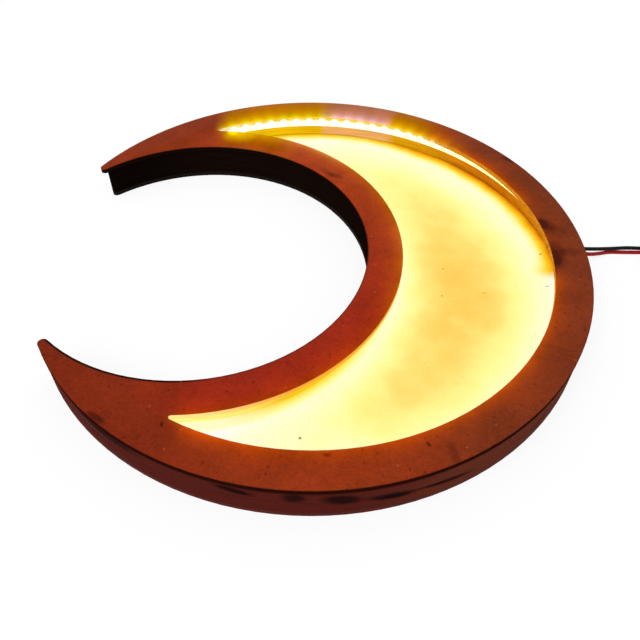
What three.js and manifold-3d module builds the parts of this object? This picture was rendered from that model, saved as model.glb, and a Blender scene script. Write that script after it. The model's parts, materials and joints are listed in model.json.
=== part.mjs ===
// Crescent moon shadow box: a shallow tray of stacked MDF layers, open at the front through a
// crescent window, lit from inside by an LED strip on its outer wall. Two leads leave the wall
// and end in a DC socket. Millimetres, +Z out of the front face, horns towards -X.
import * as THREE from 'three';
import { mergeVertices } from 'three/addons/utils/BufferGeometryUtils.js';
import Module from 'manifold-3d';

const wasm = await Module();
wasm.setup();

// Crescent outline: a disc with a smaller one bitten out of its left side, past its edge.
const moonRadius = 135;
const biteRadius = 84.8;
const biteOverhang = 7.2;
const panelHornRadius = 2.3;
const rimWidth = 17.2;
const windowHornRadius = 0.9;

// Layers, from the back up.
const backThickness = 2.5;
const ringThickness = 7.5;
const panelThickness = 2.5;

// The layers behind the panel stand in from its edge, most of all at the horns.
const outerSetback = 0.3;
const biteSetback = 0.8;
const ringHornRadius = 2.4;
const wallWidth = 8;
const cavityHornRadius = 2;

// LED strip on the inner face of the outer wall, cut every third package.
const ledsPerSection = 3;
const sectionLength = 25;
const stripEndGap = 2;
const stripWidth = 8;
const stripThickness = 0.3;
const stripBelowPanel = 0.3;
const tapeThickness = 0.2;
const seatGap = 0.3;
const ledLength = 3.5;
const ledWidth = 2.8;
const ledHeight = 0.8;
const resistorLength = 3.2;
const resistorWidth = 1.6;
const resistorHeight = 0.55;
const solderedDepth = 0.12;
const padInset = 1.3;
const solderRadius = 1;
const solderHeight = 1.7;
const solderSides = 8;
const solderRows = 6;

// Leads: stranded wire through one drilled hole in the lower ring.
const leadDiameter = 2;
const leadSpacing = 2.3;
const leadHoleDiameter = 5;
const leadHoleAboveBack = 2.9;
const leadBendRadius = 3;
const leadBendSteps = 4;
const leadStandOff = 0.4;
const insideSteps = 14;
const runSteps = 16;
const tailSteps = 8;

// Neat coil of both leads beside the moon, in two layers, tied once.
const coilDistance = 55;
const coilSide = 2.3;
const coilInnerRadius = 6.5;
const coilPitch = 5;
const coilLayer = 2.5;
const redTurns = { inward: 1.5, outward: 1.75 };
const blackTurns = { inward: 2, outward: 1.25 };
const reversalRounding = 0.6;
const stepsPerTurn = 24;
const measuresPerTurn = 96;
const coilSides = 6;
const turnsInTie = 1.5;
const tieWidth = 2.5;
const tieThickness = 0.6;
const tieCornerRadius = 0.8;
const tieHead = { width: 4, reach: 3, height: 4.4 };
const tieTail = { width: 1.9, thickness: 1, length: 3.4 };

// DC socket, 5.5 mm sleeve over a 2.1 mm pin, lying on the table.
const socketRadius = 4.9;
const socketLength = 34;
const reliefLength = 12;
const reliefRearRadius = 2.9;
const reliefFrontRadius = 4.1;
const reliefRibs = 4;
const reliefGroove = 0.5;
const socketEdge = 0.6;
const socketBoreDepth = 9.5;
const sleeveInnerRadius = 2.85;
const sleeveThickness = 0.25;
const sleeveRecess = 0.4;
const pinRadius = 1.05;
const pinTipRadius = 0.75;
const pinTipLength = 0.5;
const pinRecess = 0.8;
const tailLength = 27.4;

// Greatest departure of a faceted arc from the true one, and distance at which points join.
const arcTolerance = 0.045;
const weldDistance = 1e-4;
const cordSides = 8;
const latheSides = 20;

// What follows from the sizes above.
const biteOffset = moonRadius - biteRadius + biteOverhang;
const ringOuterRadius = moonRadius - outerSetback;
const ringBiteRadius = biteRadius + biteSetback;
const wallFaceRadius = ringOuterRadius - wallWidth;
const lowerRingBase = backThickness;
const upperRingBase = lowerRingBase + ringThickness;
const panelBase = upperRingBase + ringThickness;
const tapeOuterRadius = wallFaceRadius - seatGap;
const stripOuterRadius = tapeOuterRadius - tapeThickness - seatGap;
const stripFaceRadius = stripOuterRadius - stripThickness;
const stripTop = panelBase - stripBelowPanel;
const stripBase = stripTop - stripWidth;

// The strip holds as many whole sections as fit between the horns of the cavity.
const cavityHorn = hornCentre(wallFaceRadius, ringBiteRadius + wallWidth, cavityHornRadius);
const stripReach = Math.atan2(cavityHorn.y, cavityHorn.x) * stripFaceRadius - stripEndGap;
const sectionCount = Math.floor((2 * stripReach) / sectionLength);
const ledCount = sectionCount * ledsPerSection;
const ledAngle = sectionLength / ledsPerSection / stripFaceRadius;

// The leads are soldered at the end of the section nearest to the middle of the strip.
const leadAngle = (Math.ceil(sectionCount / 2) * ledsPerSection - ledCount / 2) * ledAngle;
const leadHeight = backThickness + leadHoleAboveBack;
const leadRadius = leadDiameter / 2;
const leadRiseRadius = stripFaceRadius - leadStandOff - leadRadius;
const blackPadHeight = stripBase + padInset + solderRadius + seatGap;
const redPadHeight = stripTop - padInset;
const coilBase = tieThickness + seatGap + leadRadius;

// Origin: under the middle of the box around the moon.
const hornTip = hornCentre(moonRadius, biteRadius, panelHornRadius).x - panelHornRadius;
const moonCentreX = -(moonRadius + hornTip) / 2;
const coilCentre = new THREE.Vector2(moonRadius + coilDistance, coilSide);

function arc(x, y, radius, from, to) {
  const step = 2 * Math.acos(1 - Math.min(arcTolerance / radius, 1));
  const count = Math.max(3, Math.ceil(Math.abs(to - from) / step));
  return Array.from({ length: count + 1 }, (_, i) => {
    const angle = from + ((to - from) * i) / count;
    return new THREE.Vector2(x + radius * Math.cos(angle), y + radius * Math.sin(angle));
  });
}

// Centre of the circle that rounds the upper horn between the two edges.
function hornCentre(outer, bite, horn) {
  const fromMoon = outer - horn;
  const fromBite = bite + horn;
  const x = (fromBite ** 2 - fromMoon ** 2 - biteOffset ** 2) / (2 * biteOffset);
  return new THREE.Vector2(x, Math.sqrt(fromMoon ** 2 - x ** 2));
}

// Counter-clockwise crescent with rounded horns.
function crescent(outer, bite, horn) {
  const tip = hornCentre(outer, bite, horn);
  const outerEnd = Math.atan2(tip.y, tip.x);
  const biteEnd = Math.atan2(tip.y, tip.x + biteOffset);
  const parts = [
    arc(0, 0, outer, -outerEnd, outerEnd),
    arc(tip.x, tip.y, horn, outerEnd, biteEnd + Math.PI),
    arc(-biteOffset, 0, bite, biteEnd, -biteEnd),
    arc(tip.x, -tip.y, horn, -biteEnd - Math.PI, -outerEnd),
  ];
  return parts.flatMap((points) => points.slice(0, -1));
}

function plate(outline, opening, base, thickness) {
  const shape = new THREE.Shape(outline);
  if (opening) shape.holes.push(new THREE.Path(opening));
  const geometry = new THREE.ExtrudeGeometry(shape, { depth: thickness, bevelEnabled: false });
  return geometry.translate(0, 0, base);
}

// Part of a ring about the moon's centre, one facet for each LED.
function band(inner, outer, base, height) {
  const half = (ledCount * ledAngle) / 2;
  const edge = (radius) => Array.from({ length: ledCount + 1 }, (_, i) => {
    const angle = -half + i * ledAngle;
    return new THREE.Vector2(radius * Math.cos(angle), radius * Math.sin(angle));
  });
  return plate([...edge(outer), ...edge(inner).reverse()], null, base, height);
}

function solid(geometry) {
  const bare = geometry.clone();
  bare.deleteAttribute('normal');
  bare.deleteAttribute('uv');
  const merged = mergeVertices(bare, weldDistance);
  const vertProperties = Float32Array.from(merged.attributes.position.array);
  const triVerts = Uint32Array.from(merged.index.array);
  return new wasm.Manifold(new wasm.Mesh({ numProp: 3, vertProperties, triVerts }));
}

function geometryOf(body) {
  const mesh = body.getMesh();
  const geometry = new THREE.BufferGeometry();
  geometry.setAttribute('position', new THREE.BufferAttribute(mesh.vertProperties, 3));
  geometry.setIndex(new THREE.BufferAttribute(mesh.triVerts, 1));
  geometry.computeVertexNormals();
  return geometry;
}

// Turns a shape made about the +X axis to its place round the moon.
function turned(geometry, angle) {
  return geometry.rotateZ(angle);
}

function spacerRing(base) {
  const outline = crescent(ringOuterRadius, ringBiteRadius, ringHornRadius);
  const cavity = crescent(wallFaceRadius, ringBiteRadius + wallWidth, cavityHornRadius);
  return plate(outline, cavity, base, ringThickness);
}

function frontPanel() {
  const outline = crescent(moonRadius, biteRadius, panelHornRadius);
  const window = crescent(moonRadius - rimWidth, biteRadius + rimWidth, windowHornRadius);
  return plate(outline, window, panelBase, panelThickness);
}

function backPanel() {
  const outline = crescent(ringOuterRadius, ringBiteRadius, ringHornRadius);
  return plate(outline, null, 0, backThickness);
}

// The drill starts outside the wall and ends in the cavity, half a wall's width past each face.
function drilledRing() {
  const length = 2 * wallWidth;
  const drill = new THREE.CylinderGeometry(leadHoleDiameter / 2, leadHoleDiameter / 2, length, latheSides);
  drill.rotateZ(Math.PI / 2).translate(ringOuterRadius - wallWidth / 2, 0, leadHeight);
  return geometryOf(solid(spacerRing(lowerRingBase)).subtract(solid(turned(drill, leadAngle))));
}

// Block soldered to the board's face, its place counted in LEDs from the strip's first end.
function onStrip(length, width, height, place) {
  const depth = height + solderedDepth;
  const block = new THREE.BoxGeometry(depth, length, width);
  const facet = stripFaceRadius * Math.cos(ledAngle / 2);
  block.translate(facet - height + depth / 2, 0, stripBase + stripWidth / 2);
  return turned(block, (place - ledCount / 2) * ledAngle);
}

// Half a drop of solder, cut off behind the middle of the board.
function solderJoint(side, height) {
  const drop = new THREE.SphereGeometry(1, solderSides, solderRows);
  drop.scale(solderHeight, solderRadius, solderRadius);
  drop.translate(stripFaceRadius, (side * leadSpacing) / 2, height);
  const behind = new THREE.BoxGeometry(2 * solderHeight, 4 * solderRadius, 4 * solderRadius);
  behind.translate(stripFaceRadius + solderHeight + stripThickness / 2, 0, height);
  return solid(turned(drop, leadAngle)).subtract(solid(turned(behind, leadAngle)));
}

// Flexible board with its packages, one resistor a section and the two solder joints.
function ledStrip() {
  let strip = solid(band(stripFaceRadius, stripOuterRadius, stripBase, stripWidth));
  for (let led = 0; led < ledCount; led += 1) {
    strip = strip.add(solid(onStrip(ledLength, ledWidth, ledHeight, led + 0.5)));
  }
  for (let section = 0; section < sectionCount; section += 1) {
    const middle = section * ledsPerSection + ledsPerSection - 1;
    strip = strip.add(solid(onStrip(resistorLength, resistorWidth, resistorHeight, middle)));
  }
  strip = strip.add(solderJoint(1, blackPadHeight)).add(solderJoint(-1, redPadHeight));
  return geometryOf(strip);
}

function cord(points, steps) {
  const section = new THREE.Shape(Array.from({ length: cordSides }, (_, i) => {
    const angle = (2 * Math.PI * i) / cordSides;
    return new THREE.Vector2(leadRadius * Math.cos(angle), leadRadius * Math.sin(angle));
  }));
  const path = new THREE.CatmullRomCurve3(points, false, 'centripetal');
  return new THREE.ExtrudeGeometry(section, { steps, extrudePath: path, bevelEnabled: false });
}

// Point beside the hole's axis: out from the moon's centre, across, and up.
function besideHole(out, across, up) {
  return new THREE.Vector3(out, across, up).applyAxisAngle(new THREE.Vector3(0, 0, 1), leadAngle);
}

// From the outer end of the hole in, up round a quarter bend, and on to the solder pad.
function leadInside(side, top) {
  const across = (side * leadSpacing) / 2;
  const bendStart = leadRiseRadius + leadBendRadius;
  const points = [
    besideHole(ringOuterRadius - seatGap / 2, across, leadHeight),
    besideHole((ringOuterRadius + bendStart) / 2, across, leadHeight),
  ];
  for (let i = 0; i <= leadBendSteps; i += 1) {
    const angle = (i / leadBendSteps) * (Math.PI / 2);
    const out = bendStart - leadBendRadius * Math.sin(angle);
    points.push(besideHole(out, across, leadHeight + leadBendRadius * (1 - Math.cos(angle))));
  }
  points.push(besideHole(leadRiseRadius, across, top));
  return cord(points, insideSteps);
}

function smoothStep(t) {
  const s = Math.min(Math.max(t, 0), 1);
  return s * s * (3 - 2 * s);
}

// Spiral in on the lower layer, up in the half turn where it reverses, and out on the upper one.
function coilPoint(turns, t) {
  const theta = 2 * Math.PI * (t * (turns.inward + turns.outward) - turns.inward);
  const radius = coilInnerRadius + (coilPitch * Math.hypot(theta, reversalRounding)) / (2 * Math.PI);
  const angle = Math.PI / 2 - theta - 2 * Math.PI * turns.inward;
  const height = coilBase + coilLayer * smoothStep(theta / Math.PI + 0.5);
  const x = coilCentre.x + radius * Math.cos(angle);
  return new THREE.Vector3(x, coilCentre.y + radius * Math.sin(angle), height);
}

// Centreline with a straight stretch of one diameter at each end.
function coilLine(turns) {
  const steps = Math.round(stepsPerTurn * (turns.inward + turns.outward));
  const line = Array.from({ length: steps + 1 }, (_, i) => coilPoint(turns, i / steps));
  const fine = 1e-3;
  const entering = coilPoint(turns, fine).sub(coilPoint(turns, 0)).setZ(0).setLength(leadDiameter);
  const leaving = coilPoint(turns, 1).sub(coilPoint(turns, 1 - fine)).setZ(0).setLength(leadDiameter);
  return [line[0].clone().sub(entering), ...line, line[steps].clone().add(leaving)];
}

function ringTube(line) {
  const up = new THREE.Vector3(0, 0, 1);
  const positions = [];
  line.forEach((point, i) => {
    const ahead = line[Math.min(i + 1, line.length - 1)].clone().sub(line[Math.max(i - 1, 0)]).normalize();
    const side = new THREE.Vector3().crossVectors(ahead, up).normalize();
    const over = new THREE.Vector3().crossVectors(side, ahead);
    for (let k = 0; k < coilSides; k += 1) {
      const angle = (2 * Math.PI * k) / coilSides;
      const across = side.clone().multiplyScalar(leadRadius * Math.cos(angle));
      positions.push(...point.clone().add(across).addScaledVector(over, leadRadius * Math.sin(angle)).toArray());
    }
  });
  const faces = [];
  for (let i = 0; i < line.length - 1; i += 1) {
    for (let k = 0; k < coilSides; k += 1) {
      const a = i * coilSides + k;
      const b = i * coilSides + ((k + 1) % coilSides);
      faces.push(a, a + coilSides, b, b, a + coilSides, b + coilSides);
    }
  }
  const last = (line.length - 1) * coilSides;
  for (let k = 1; k < coilSides - 1; k += 1) {
    faces.push(0, k, k + 1, last, last + k + 1, last + k);
  }
  const geometry = new THREE.BufferGeometry();
  geometry.setAttribute('position', new THREE.Float32BufferAttribute(positions, 3));
  geometry.setIndex(faces);
  geometry.computeVertexNormals();
  return geometry;
}

// Least distance between stretches of one lead that are over half a turn apart, less a diameter.
function leastSelfGap(turns) {
  const count = Math.round(measuresPerTurn * (turns.inward + turns.outward));
  const points = Array.from({ length: count + 1 }, (_, i) => coilPoint(turns, i / count));
  let least = Infinity;
  for (let i = 0; i < points.length; i += 1) {
    for (let j = i + measuresPerTurn / 2; j < points.length; j += 1) {
      least = Math.min(least, points[i].distanceTo(points[j]));
    }
  }
  return least - leadDiameter;
}

const redCoil = coilLine(redTurns);
const blackCoil = coilLine(blackTurns);

// Free run from the hole to the coil: steps out from the wall, across, and height above the table.
const blackRoute = [[10.2, -0.1, 5.3], [16.7, 0.9, 4.4], [23.3, 2.1, 3.55], [33.6, 3.35, 3.05], [42, 3.95, 2.3]];
const redRoute = [[10.4, -0.9, 4.4], [17, 1.5, 2.6], [23.8, 4.3, 1.15], [33.6, 4.3, 1.1], [42, 4.1, 1.35]];

function leadRun(side, route, coil) {
  const across = (side * leadSpacing) / 2;
  const start = besideHole(ringOuterRadius + seatGap / 2, across, leadHeight);
  const onward = besideHole(ringOuterRadius + seatGap / 2 + leadDiameter, across, leadHeight);
  const into = coil[1].clone().sub(coil[0]).normalize();
  const end = coil[0].clone().addScaledVector(into, -seatGap);
  return cord([
    start,
    onward,
    ...route.map(([out, over, up]) => new THREE.Vector3(start.x + out, start.y + over, up)),
    end.clone().addScaledVector(into, -leadDiameter),
    end,
  ], runSteps);
}

// Where the leads enter the back of the socket.
const redEnd = redCoil[redCoil.length - 1];
const blackEnd = blackCoil[blackCoil.length - 1];
const socketPlace = new THREE.Vector3((redEnd.x + blackEnd.x) / 2, redEnd.y - tailLength, socketRadius);

// Last run from the coil to the socket: share of the way, and how far below the coil's end.
const tailRoute = [[0.4, 0.15], [0.65, 0.35]];

function leadTail(side, coil) {
  const end = coil[coil.length - 1];
  const away = end.clone().sub(coil[coil.length - 2]).setZ(0).normalize();
  const start = end.clone().addScaledVector(away, seatGap);
  const entry = socketPlace.clone().add(new THREE.Vector3((-side * leadSpacing) / 2, seatGap, 0));
  return cord([
    start,
    start.clone().addScaledVector(away, leadDiameter),
    ...tailRoute.map(([share, drop]) => start.clone().lerp(entry, share).setZ(start.z - drop)),
    entry.clone().add(new THREE.Vector3(0, leadDiameter, 0)),
    entry,
  ], tailSteps);
}

// Band round the bundle, opposite the side where the leads come in.
function coilTie() {
  const innermost = coilInnerRadius - leadRadius - seatGap;
  const outermost = coilInnerRadius + coilPitch * turnsInTie + leadRadius + seatGap;
  const inside = roundedRectangle(-outermost, tieThickness, -innermost, tieInsideTop(), tieCornerRadius);
  const outside = roundedRectangle(
    -outermost - tieThickness, 0, -innermost + tieThickness, tieInsideTop() + tieThickness,
    tieCornerRadius + tieThickness,
  );
  const loop = plate(outside, inside, -tieWidth / 2, tieWidth);
  const head = new THREE.BoxGeometry(tieHead.reach, tieHead.height, tieHead.width);
  const headAt = -outermost - tieThickness / 2 - tieHead.reach / 2;
  head.translate(headAt, tieHead.height / 2 + tieThickness, 0);
  const tail = new THREE.BoxGeometry(tieTail.thickness, tieTail.length + tieThickness, tieTail.width);
  tail.translate(headAt, tieHead.height + tieThickness + tieTail.length / 2 - tieThickness / 2, 0);
  const across = new THREE.Matrix4().makeBasis(
    new THREE.Vector3(0, 1, 0), new THREE.Vector3(0, 0, 1), new THREE.Vector3(1, 0, 0),
  );
  const tie = geometryOf(solid(loop).add(solid(head)).add(solid(tail)));
  return tie.applyMatrix4(across).translate(coilCentre.x, coilCentre.y, 0);
}

function tieInsideTop() {
  return coilBase + coilLayer + leadRadius + seatGap;
}

function roundedRectangle(left, bottom, right, top, radius) {
  const quarter = Math.PI / 2;
  return [
    ...arc(right - radius, bottom + radius, radius, -quarter, 0),
    ...arc(right - radius, top - radius, radius, 0, quarter),
    ...arc(left + radius, top - radius, radius, quarter, 2 * quarter),
    ...arc(left + radius, bottom + radius, radius, 2 * quarter, 3 * quarter),
  ];
}

function lathe(profile) {
  const geometry = new THREE.LatheGeometry(profile.map(([x, y]) => new THREE.Vector2(x, y)), latheSides);
  return geometry.translate(socketPlace.x, socketPlace.y, socketPlace.z);
}

const sleeveOuterRadius = sleeveInnerRadius + sleeveThickness;
const socketBoreRadius = sleeveOuterRadius + seatGap;
const boreEnd = socketBoreDepth - socketLength;

// Moulded body with a ribbed strain relief at the back and the bore at the front.
function socketBody() {
  const profile = [[0, boreEnd], [socketBoreRadius, boreEnd], [socketBoreRadius, -socketLength]];
  profile.push([socketRadius - socketEdge, -socketLength], [socketRadius, -socketLength + socketEdge]);
  profile.push([socketRadius, -reliefLength - socketEdge], [socketRadius - socketEdge, -reliefLength]);
  const ribStep = reliefLength / (reliefRibs + 0.5);
  for (let rib = 0; rib < reliefRibs; rib += 1) {
    const radius = reliefFrontRadius - ((reliefFrontRadius - reliefRearRadius) * rib) / (reliefRibs - 1);
    const front = -reliefLength + rib * ribStep;
    profile.push([radius - reliefGroove, front], [radius - reliefGroove, front + ribStep / 2]);
    profile.push([radius, front + ribStep / 2], [radius, front + ribStep]);
  }
  const tailRadius = reliefRearRadius - reliefGroove / 2;
  profile.push([tailRadius, -ribStep / 2], [tailRadius, 0], [0, 0]);
  return lathe(profile);
}

function socketSleeve() {
  const front = -socketLength + sleeveRecess;
  const rear = boreEnd - seatGap;
  return lathe([
    [sleeveInnerRadius, rear],
    [sleeveInnerRadius, front],
    [sleeveOuterRadius, front],
    [sleeveOuterRadius, rear],
    [sleeveInnerRadius, rear],
  ]);
}

function socketPin() {
  const tip = -socketLength + pinRecess;
  const rear = boreEnd - seatGap;
  return lathe([
    [0, tip],
    [pinTipRadius, tip],
    [pinRadius, tip + pinTipLength],
    [pinRadius, rear],
    [0, rear],
  ]);
}

const finishes = {
  mdfFace: { color: 0x813a20, roughness: 0.62, metalness: 0 },
  mdfEdge: { color: 0x4c1d1c, roughness: 0.7, metalness: 0 },
  board: { color: 0xf3efe2, roughness: 0.5, metalness: 0 },
  tape: { color: 0xd8d2c4, roughness: 0.8, metalness: 0 },
  blackInsulation: { color: 0x131313, roughness: 0.38, metalness: 0 },
  redInsulation: { color: 0xa30a10, roughness: 0.35, metalness: 0 },
  nylon: { color: 0x1c1c1e, roughness: 0.5, metalness: 0 },
  mouldedPlastic: { color: 0x18181a, roughness: 0.55, metalness: 0 },
  nickel: { color: 0xc9c7c0, roughness: 0.25, metalness: 1 },
  brass: { color: 0xcaa45a, roughness: 0.3, metalness: 1 },
};

function piece(name, geometry, finish) {
  const mesh = new THREE.Mesh(geometry, new THREE.MeshStandardMaterial(finishes[finish]));
  mesh.name = name;
  return mesh;
}

const box = new THREE.Group();
box.add(
  piece('front_panel', frontPanel(), 'mdfFace'),
  piece('upper_spacer_ring', spacerRing(upperRingBase), 'mdfEdge'),
  piece('lower_spacer_ring', drilledRing(), 'mdfEdge'),
  piece('back_panel', backPanel(), 'mdfFace'),
);

const lighting = new THREE.Group();
const tape = band(tapeOuterRadius - tapeThickness, tapeOuterRadius, stripBase, stripWidth);
lighting.add(
  piece('strip_tape', tape, 'tape'),
  piece('led_strip', ledStrip(), 'board'),
  piece('black_lead_inside', leadInside(1, blackPadHeight - solderRadius - seatGap), 'blackInsulation'),
  piece('red_lead_inside', leadInside(-1, redPadHeight - solderRadius - seatGap), 'redInsulation'),
);

const supply = new THREE.Group();
supply.add(
  piece('black_lead_run', leadRun(1, blackRoute, blackCoil), 'blackInsulation'),
  piece('red_lead_run', leadRun(-1, redRoute, redCoil), 'redInsulation'),
  piece('black_lead_coil', ringTube(blackCoil), 'blackInsulation'),
  piece('red_lead_coil', ringTube(redCoil), 'redInsulation'),
  piece('black_lead_tail', leadTail(1, blackCoil), 'blackInsulation'),
  piece('red_lead_tail', leadTail(-1, redCoil), 'redInsulation'),
  piece('coil_tie', coilTie(), 'nylon'),
  piece('socket_body', socketBody(), 'mouldedPlastic'),
  piece('socket_sleeve', socketSleeve(), 'nickel'),
  piece('socket_pin', socketPin(), 'brass'),
);

const shadowBox = new THREE.Group();
shadowBox.add(box, lighting, supply);
shadowBox.position.x = moonCentreX;

const selfGap = Math.min(leastSelfGap(redTurns), leastSelfGap(blackTurns));
console.log(`least gap of a coiled lead to itself: ${selfGap.toFixed(2)} mm`);

export default shadowBox;
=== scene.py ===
import json
import math

import bmesh
import bpy
from mathutils import Matrix, Vector

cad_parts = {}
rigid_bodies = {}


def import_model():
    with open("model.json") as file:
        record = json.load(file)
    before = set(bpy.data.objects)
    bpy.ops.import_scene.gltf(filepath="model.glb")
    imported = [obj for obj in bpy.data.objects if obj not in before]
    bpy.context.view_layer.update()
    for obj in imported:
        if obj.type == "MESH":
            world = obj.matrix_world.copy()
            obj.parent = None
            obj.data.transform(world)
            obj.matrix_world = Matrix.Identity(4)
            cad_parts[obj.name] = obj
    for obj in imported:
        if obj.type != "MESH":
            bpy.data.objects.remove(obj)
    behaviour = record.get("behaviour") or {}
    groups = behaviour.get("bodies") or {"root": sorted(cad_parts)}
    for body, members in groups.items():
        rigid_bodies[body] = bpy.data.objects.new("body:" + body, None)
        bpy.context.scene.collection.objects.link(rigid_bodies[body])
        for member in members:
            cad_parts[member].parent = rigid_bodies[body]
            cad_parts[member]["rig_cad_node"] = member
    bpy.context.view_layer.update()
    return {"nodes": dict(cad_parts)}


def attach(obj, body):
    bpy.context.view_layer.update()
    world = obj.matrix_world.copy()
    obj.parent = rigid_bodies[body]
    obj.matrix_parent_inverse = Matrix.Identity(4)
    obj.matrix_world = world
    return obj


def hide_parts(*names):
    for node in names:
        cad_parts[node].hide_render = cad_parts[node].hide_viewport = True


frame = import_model()

MM = 0.001

# Crescent and layers.
MOON_RADIUS = 135.0
BITE_RADIUS = 84.8
BITE_OFFSET = 57.4
PANEL_HORN_RADIUS = 2.3
RIM_WIDTH = 17.2
WINDOW_RADIUS = MOON_RADIUS - RIM_WIDTH
WINDOW_BITE = BITE_RADIUS + RIM_WIDTH
RING_OUTER = 134.7
WALL_WIDTH = 8.0
WALL_FACE = RING_OUTER - WALL_WIDTH
BAY_WALL = 85.6
CAVITY_BITE = BAY_WALL + WALL_WIDTH
FLOOR_TOP = 2.5
RING_SEAM = 10.0
PANEL_BASE = 17.5
PANEL_TOP = 20.0

# LED strip. The sizes of its parts are thickness, length along the strip and width.
STRIP_FACE = 125.6
STRIP_BACK = 125.9
STRIP_TOP = 17.2
STRIP_BASE = STRIP_TOP - 8
STRIP_MIDDLE = (STRIP_BASE + STRIP_TOP) / 2
SECTIONS = 23
LEDS_PER_SECTION = 3
LED_COUNT = SECTIONS * LEDS_PER_SECTION
LED_ANGLE = 25 / LEDS_PER_SECTION / STRIP_FACE
STRIP_END = LED_COUNT * LED_ANGLE / 2
BOARD_STEPS_PER_LED = 4
PAD_INSET = 1.3
HOUSING = (0.76, 3.2, 2.8)
HOUSING_OUT = 0.4
HOUSING_FOOT = (0.16, 0.3, 2.1)
PHOSPHOR_RADIUS = 1.15
PHOSPHOR_THICKNESS = 0.03
PHOSPHOR_OUT = 0.785
RESISTOR = (0.5, 2.4, 1.55)
RESISTOR_CAP = (0.54, 0.42, 1.6)
RESISTOR_OUT = 0.27
CUTTING_PAD = (0.06, 2.2, 1.5)

# Leads: where they leave, and how they lie.
LEAD_ANGLE = 1.5 * LED_ANGLE
LEAD_RADIUS = 1.0
LEAD_DIAMETER = 2 * LEAD_RADIUS
LEAD_SPACING = 2.3
LEAD_HEIGHT = 5.4
LEAD_RISE = 124.2
LEAD_BEND = 3.0
BLACK_PAD = 11.8
RED_PAD = 15.9
SEAT_GAP = 0.3
SOLDER_RADIUS = 1.0
SOLDER_HEIGHT = 1.7
LINE_STEP = 0.5
BLACK_ROUTE = [
    (10.2, -0.1, 5.3), (16.7, 0.9, 4.4), (23.3, 2.1, 3.55), (33.6, 3.35, 3.05), (42, 3.95, 2.3),
]
RED_ROUTE = [(10.4, -0.9, 4.4), (17, 1.5, 2.6), (23.8, 4.3, 1.15), (33.6, 4.3, 1.1), (42, 4.1, 1.35)]
TAIL_ROUTE = [(0.4, 0.15), (0.65, 0.35)]
TAIL_LENGTH = 27.4

# Coil.
COIL_X = 190.0
COIL_Y = 2.3
COIL_INNER = 6.5
COIL_PITCH = 5.0
COIL_LAYER = 2.5
COIL_BASE = 1.9
RED_TURNS = (1.5, 1.75)
BLACK_TURNS = (2.0, 1.25)
REVERSAL_ROUNDING = 0.6

# Socket.
SOCKET_RADIUS = 4.9
SOCKET_LENGTH = 34.0
RELIEF_LENGTH = 12.0
RELIEF_REAR = 2.9
RELIEF_FRONT = 4.1
RELIEF_RIBS = 4
RELIEF_GROOVE = 0.5
SOCKET_EDGE = 0.6
BORE_DEPTH = 9.5
SLEEVE_INNER = 2.85
SLEEVE_THICKNESS = 0.25
SLEEVE_RECESS = 0.4
PIN_RADIUS = 1.05
PIN_TIP_RADIUS = 0.75
PIN_TIP_LENGTH = 0.5
PIN_RECESS = 0.8
TURNED_SIDES = 72

# Camera, fitted to the two circles of the crescent in the photograph.
CAMERA_PLACE = (-0.00747, -0.25734, 0.24502)
CAMERA_YAW = -0.01292
CAMERA_PITCH = 0.82783
CAMERA_ROLL = 0.01297
CAMERA_LENS = 38.57
SENSOR_WIDTH = 36.0
CAMERA_NEAR = 0.01

# Light.
SKY_LIGHT = 0.62
SUN_LIGHT = 1.45
SUN_SPREAD = 0.9
FLOOR_SIZE = 6.0
FLOOR_WHITENESS = 0.8
FLOOR_LIGHT = 1.03
FLOOR_GREY = 0.92
FLOOR_DROP = 0.0001
SUN_TILT = (28, -18, 0)

# Finish of edges and shading.
SHARP_ANGLE = math.radians(40)
SMOOTH_ANGLE = math.radians(35)
ARRIS_ANGLE = math.radians(50)
MDF_ARRIS = 0.2
TIE_ARRIS = 0.25
WELD_REACH = 1e-6

# Spots painted on a surface: how deep they reach, and where their soft edge ends.
MARK_DEPTH = 50
MARK_SOFTNESS = 0.35


def horn_tip_x():
    """Outermost x of the panel's horns."""
    from_moon = MOON_RADIUS - PANEL_HORN_RADIUS
    from_bite = BITE_RADIUS + PANEL_HORN_RADIUS
    centre = (from_bite**2 - from_moon**2 - BITE_OFFSET**2) / (2 * BITE_OFFSET)
    return centre - PANEL_HORN_RADIUS


MOON_X = -(MOON_RADIUS + horn_tip_x()) / 2


def place(point):
    """A point in millimetres from the moon's centre, as a place in the frame."""
    return Vector((point[0] + MOON_X, point[1], point[2])) * MM


def add_object(name, data):
    made = bpy.data.objects.new(name, data)
    bpy.context.scene.collection.objects.link(made)
    return made


def quarter_turn(steps):
    """Angles from 0 to 90 degrees, in radians."""
    return [i / steps * math.pi / 2 for i in range(steps + 1)]


# Camera

def add_camera():
    back = Vector((
        math.sin(CAMERA_YAW) * math.cos(CAMERA_PITCH),
        -math.cos(CAMERA_YAW) * math.cos(CAMERA_PITCH),
        math.sin(CAMERA_PITCH),
    ))
    level = Vector((math.cos(CAMERA_YAW), math.sin(CAMERA_YAW), 0))
    right = Matrix.Rotation(CAMERA_ROLL, 3, back) @ level
    axes = Matrix((right, back.cross(right), back)).transposed()
    data = bpy.data.cameras.new("camera")
    data.lens = CAMERA_LENS
    data.sensor_width = SENSOR_WIDTH
    data.clip_start = CAMERA_NEAR
    camera = add_object("camera", data)
    camera.matrix_world = Matrix.Translation(CAMERA_PLACE) @ axes.to_4x4()
    bpy.context.scene.camera = camera


add_camera()


# Leads

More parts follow.
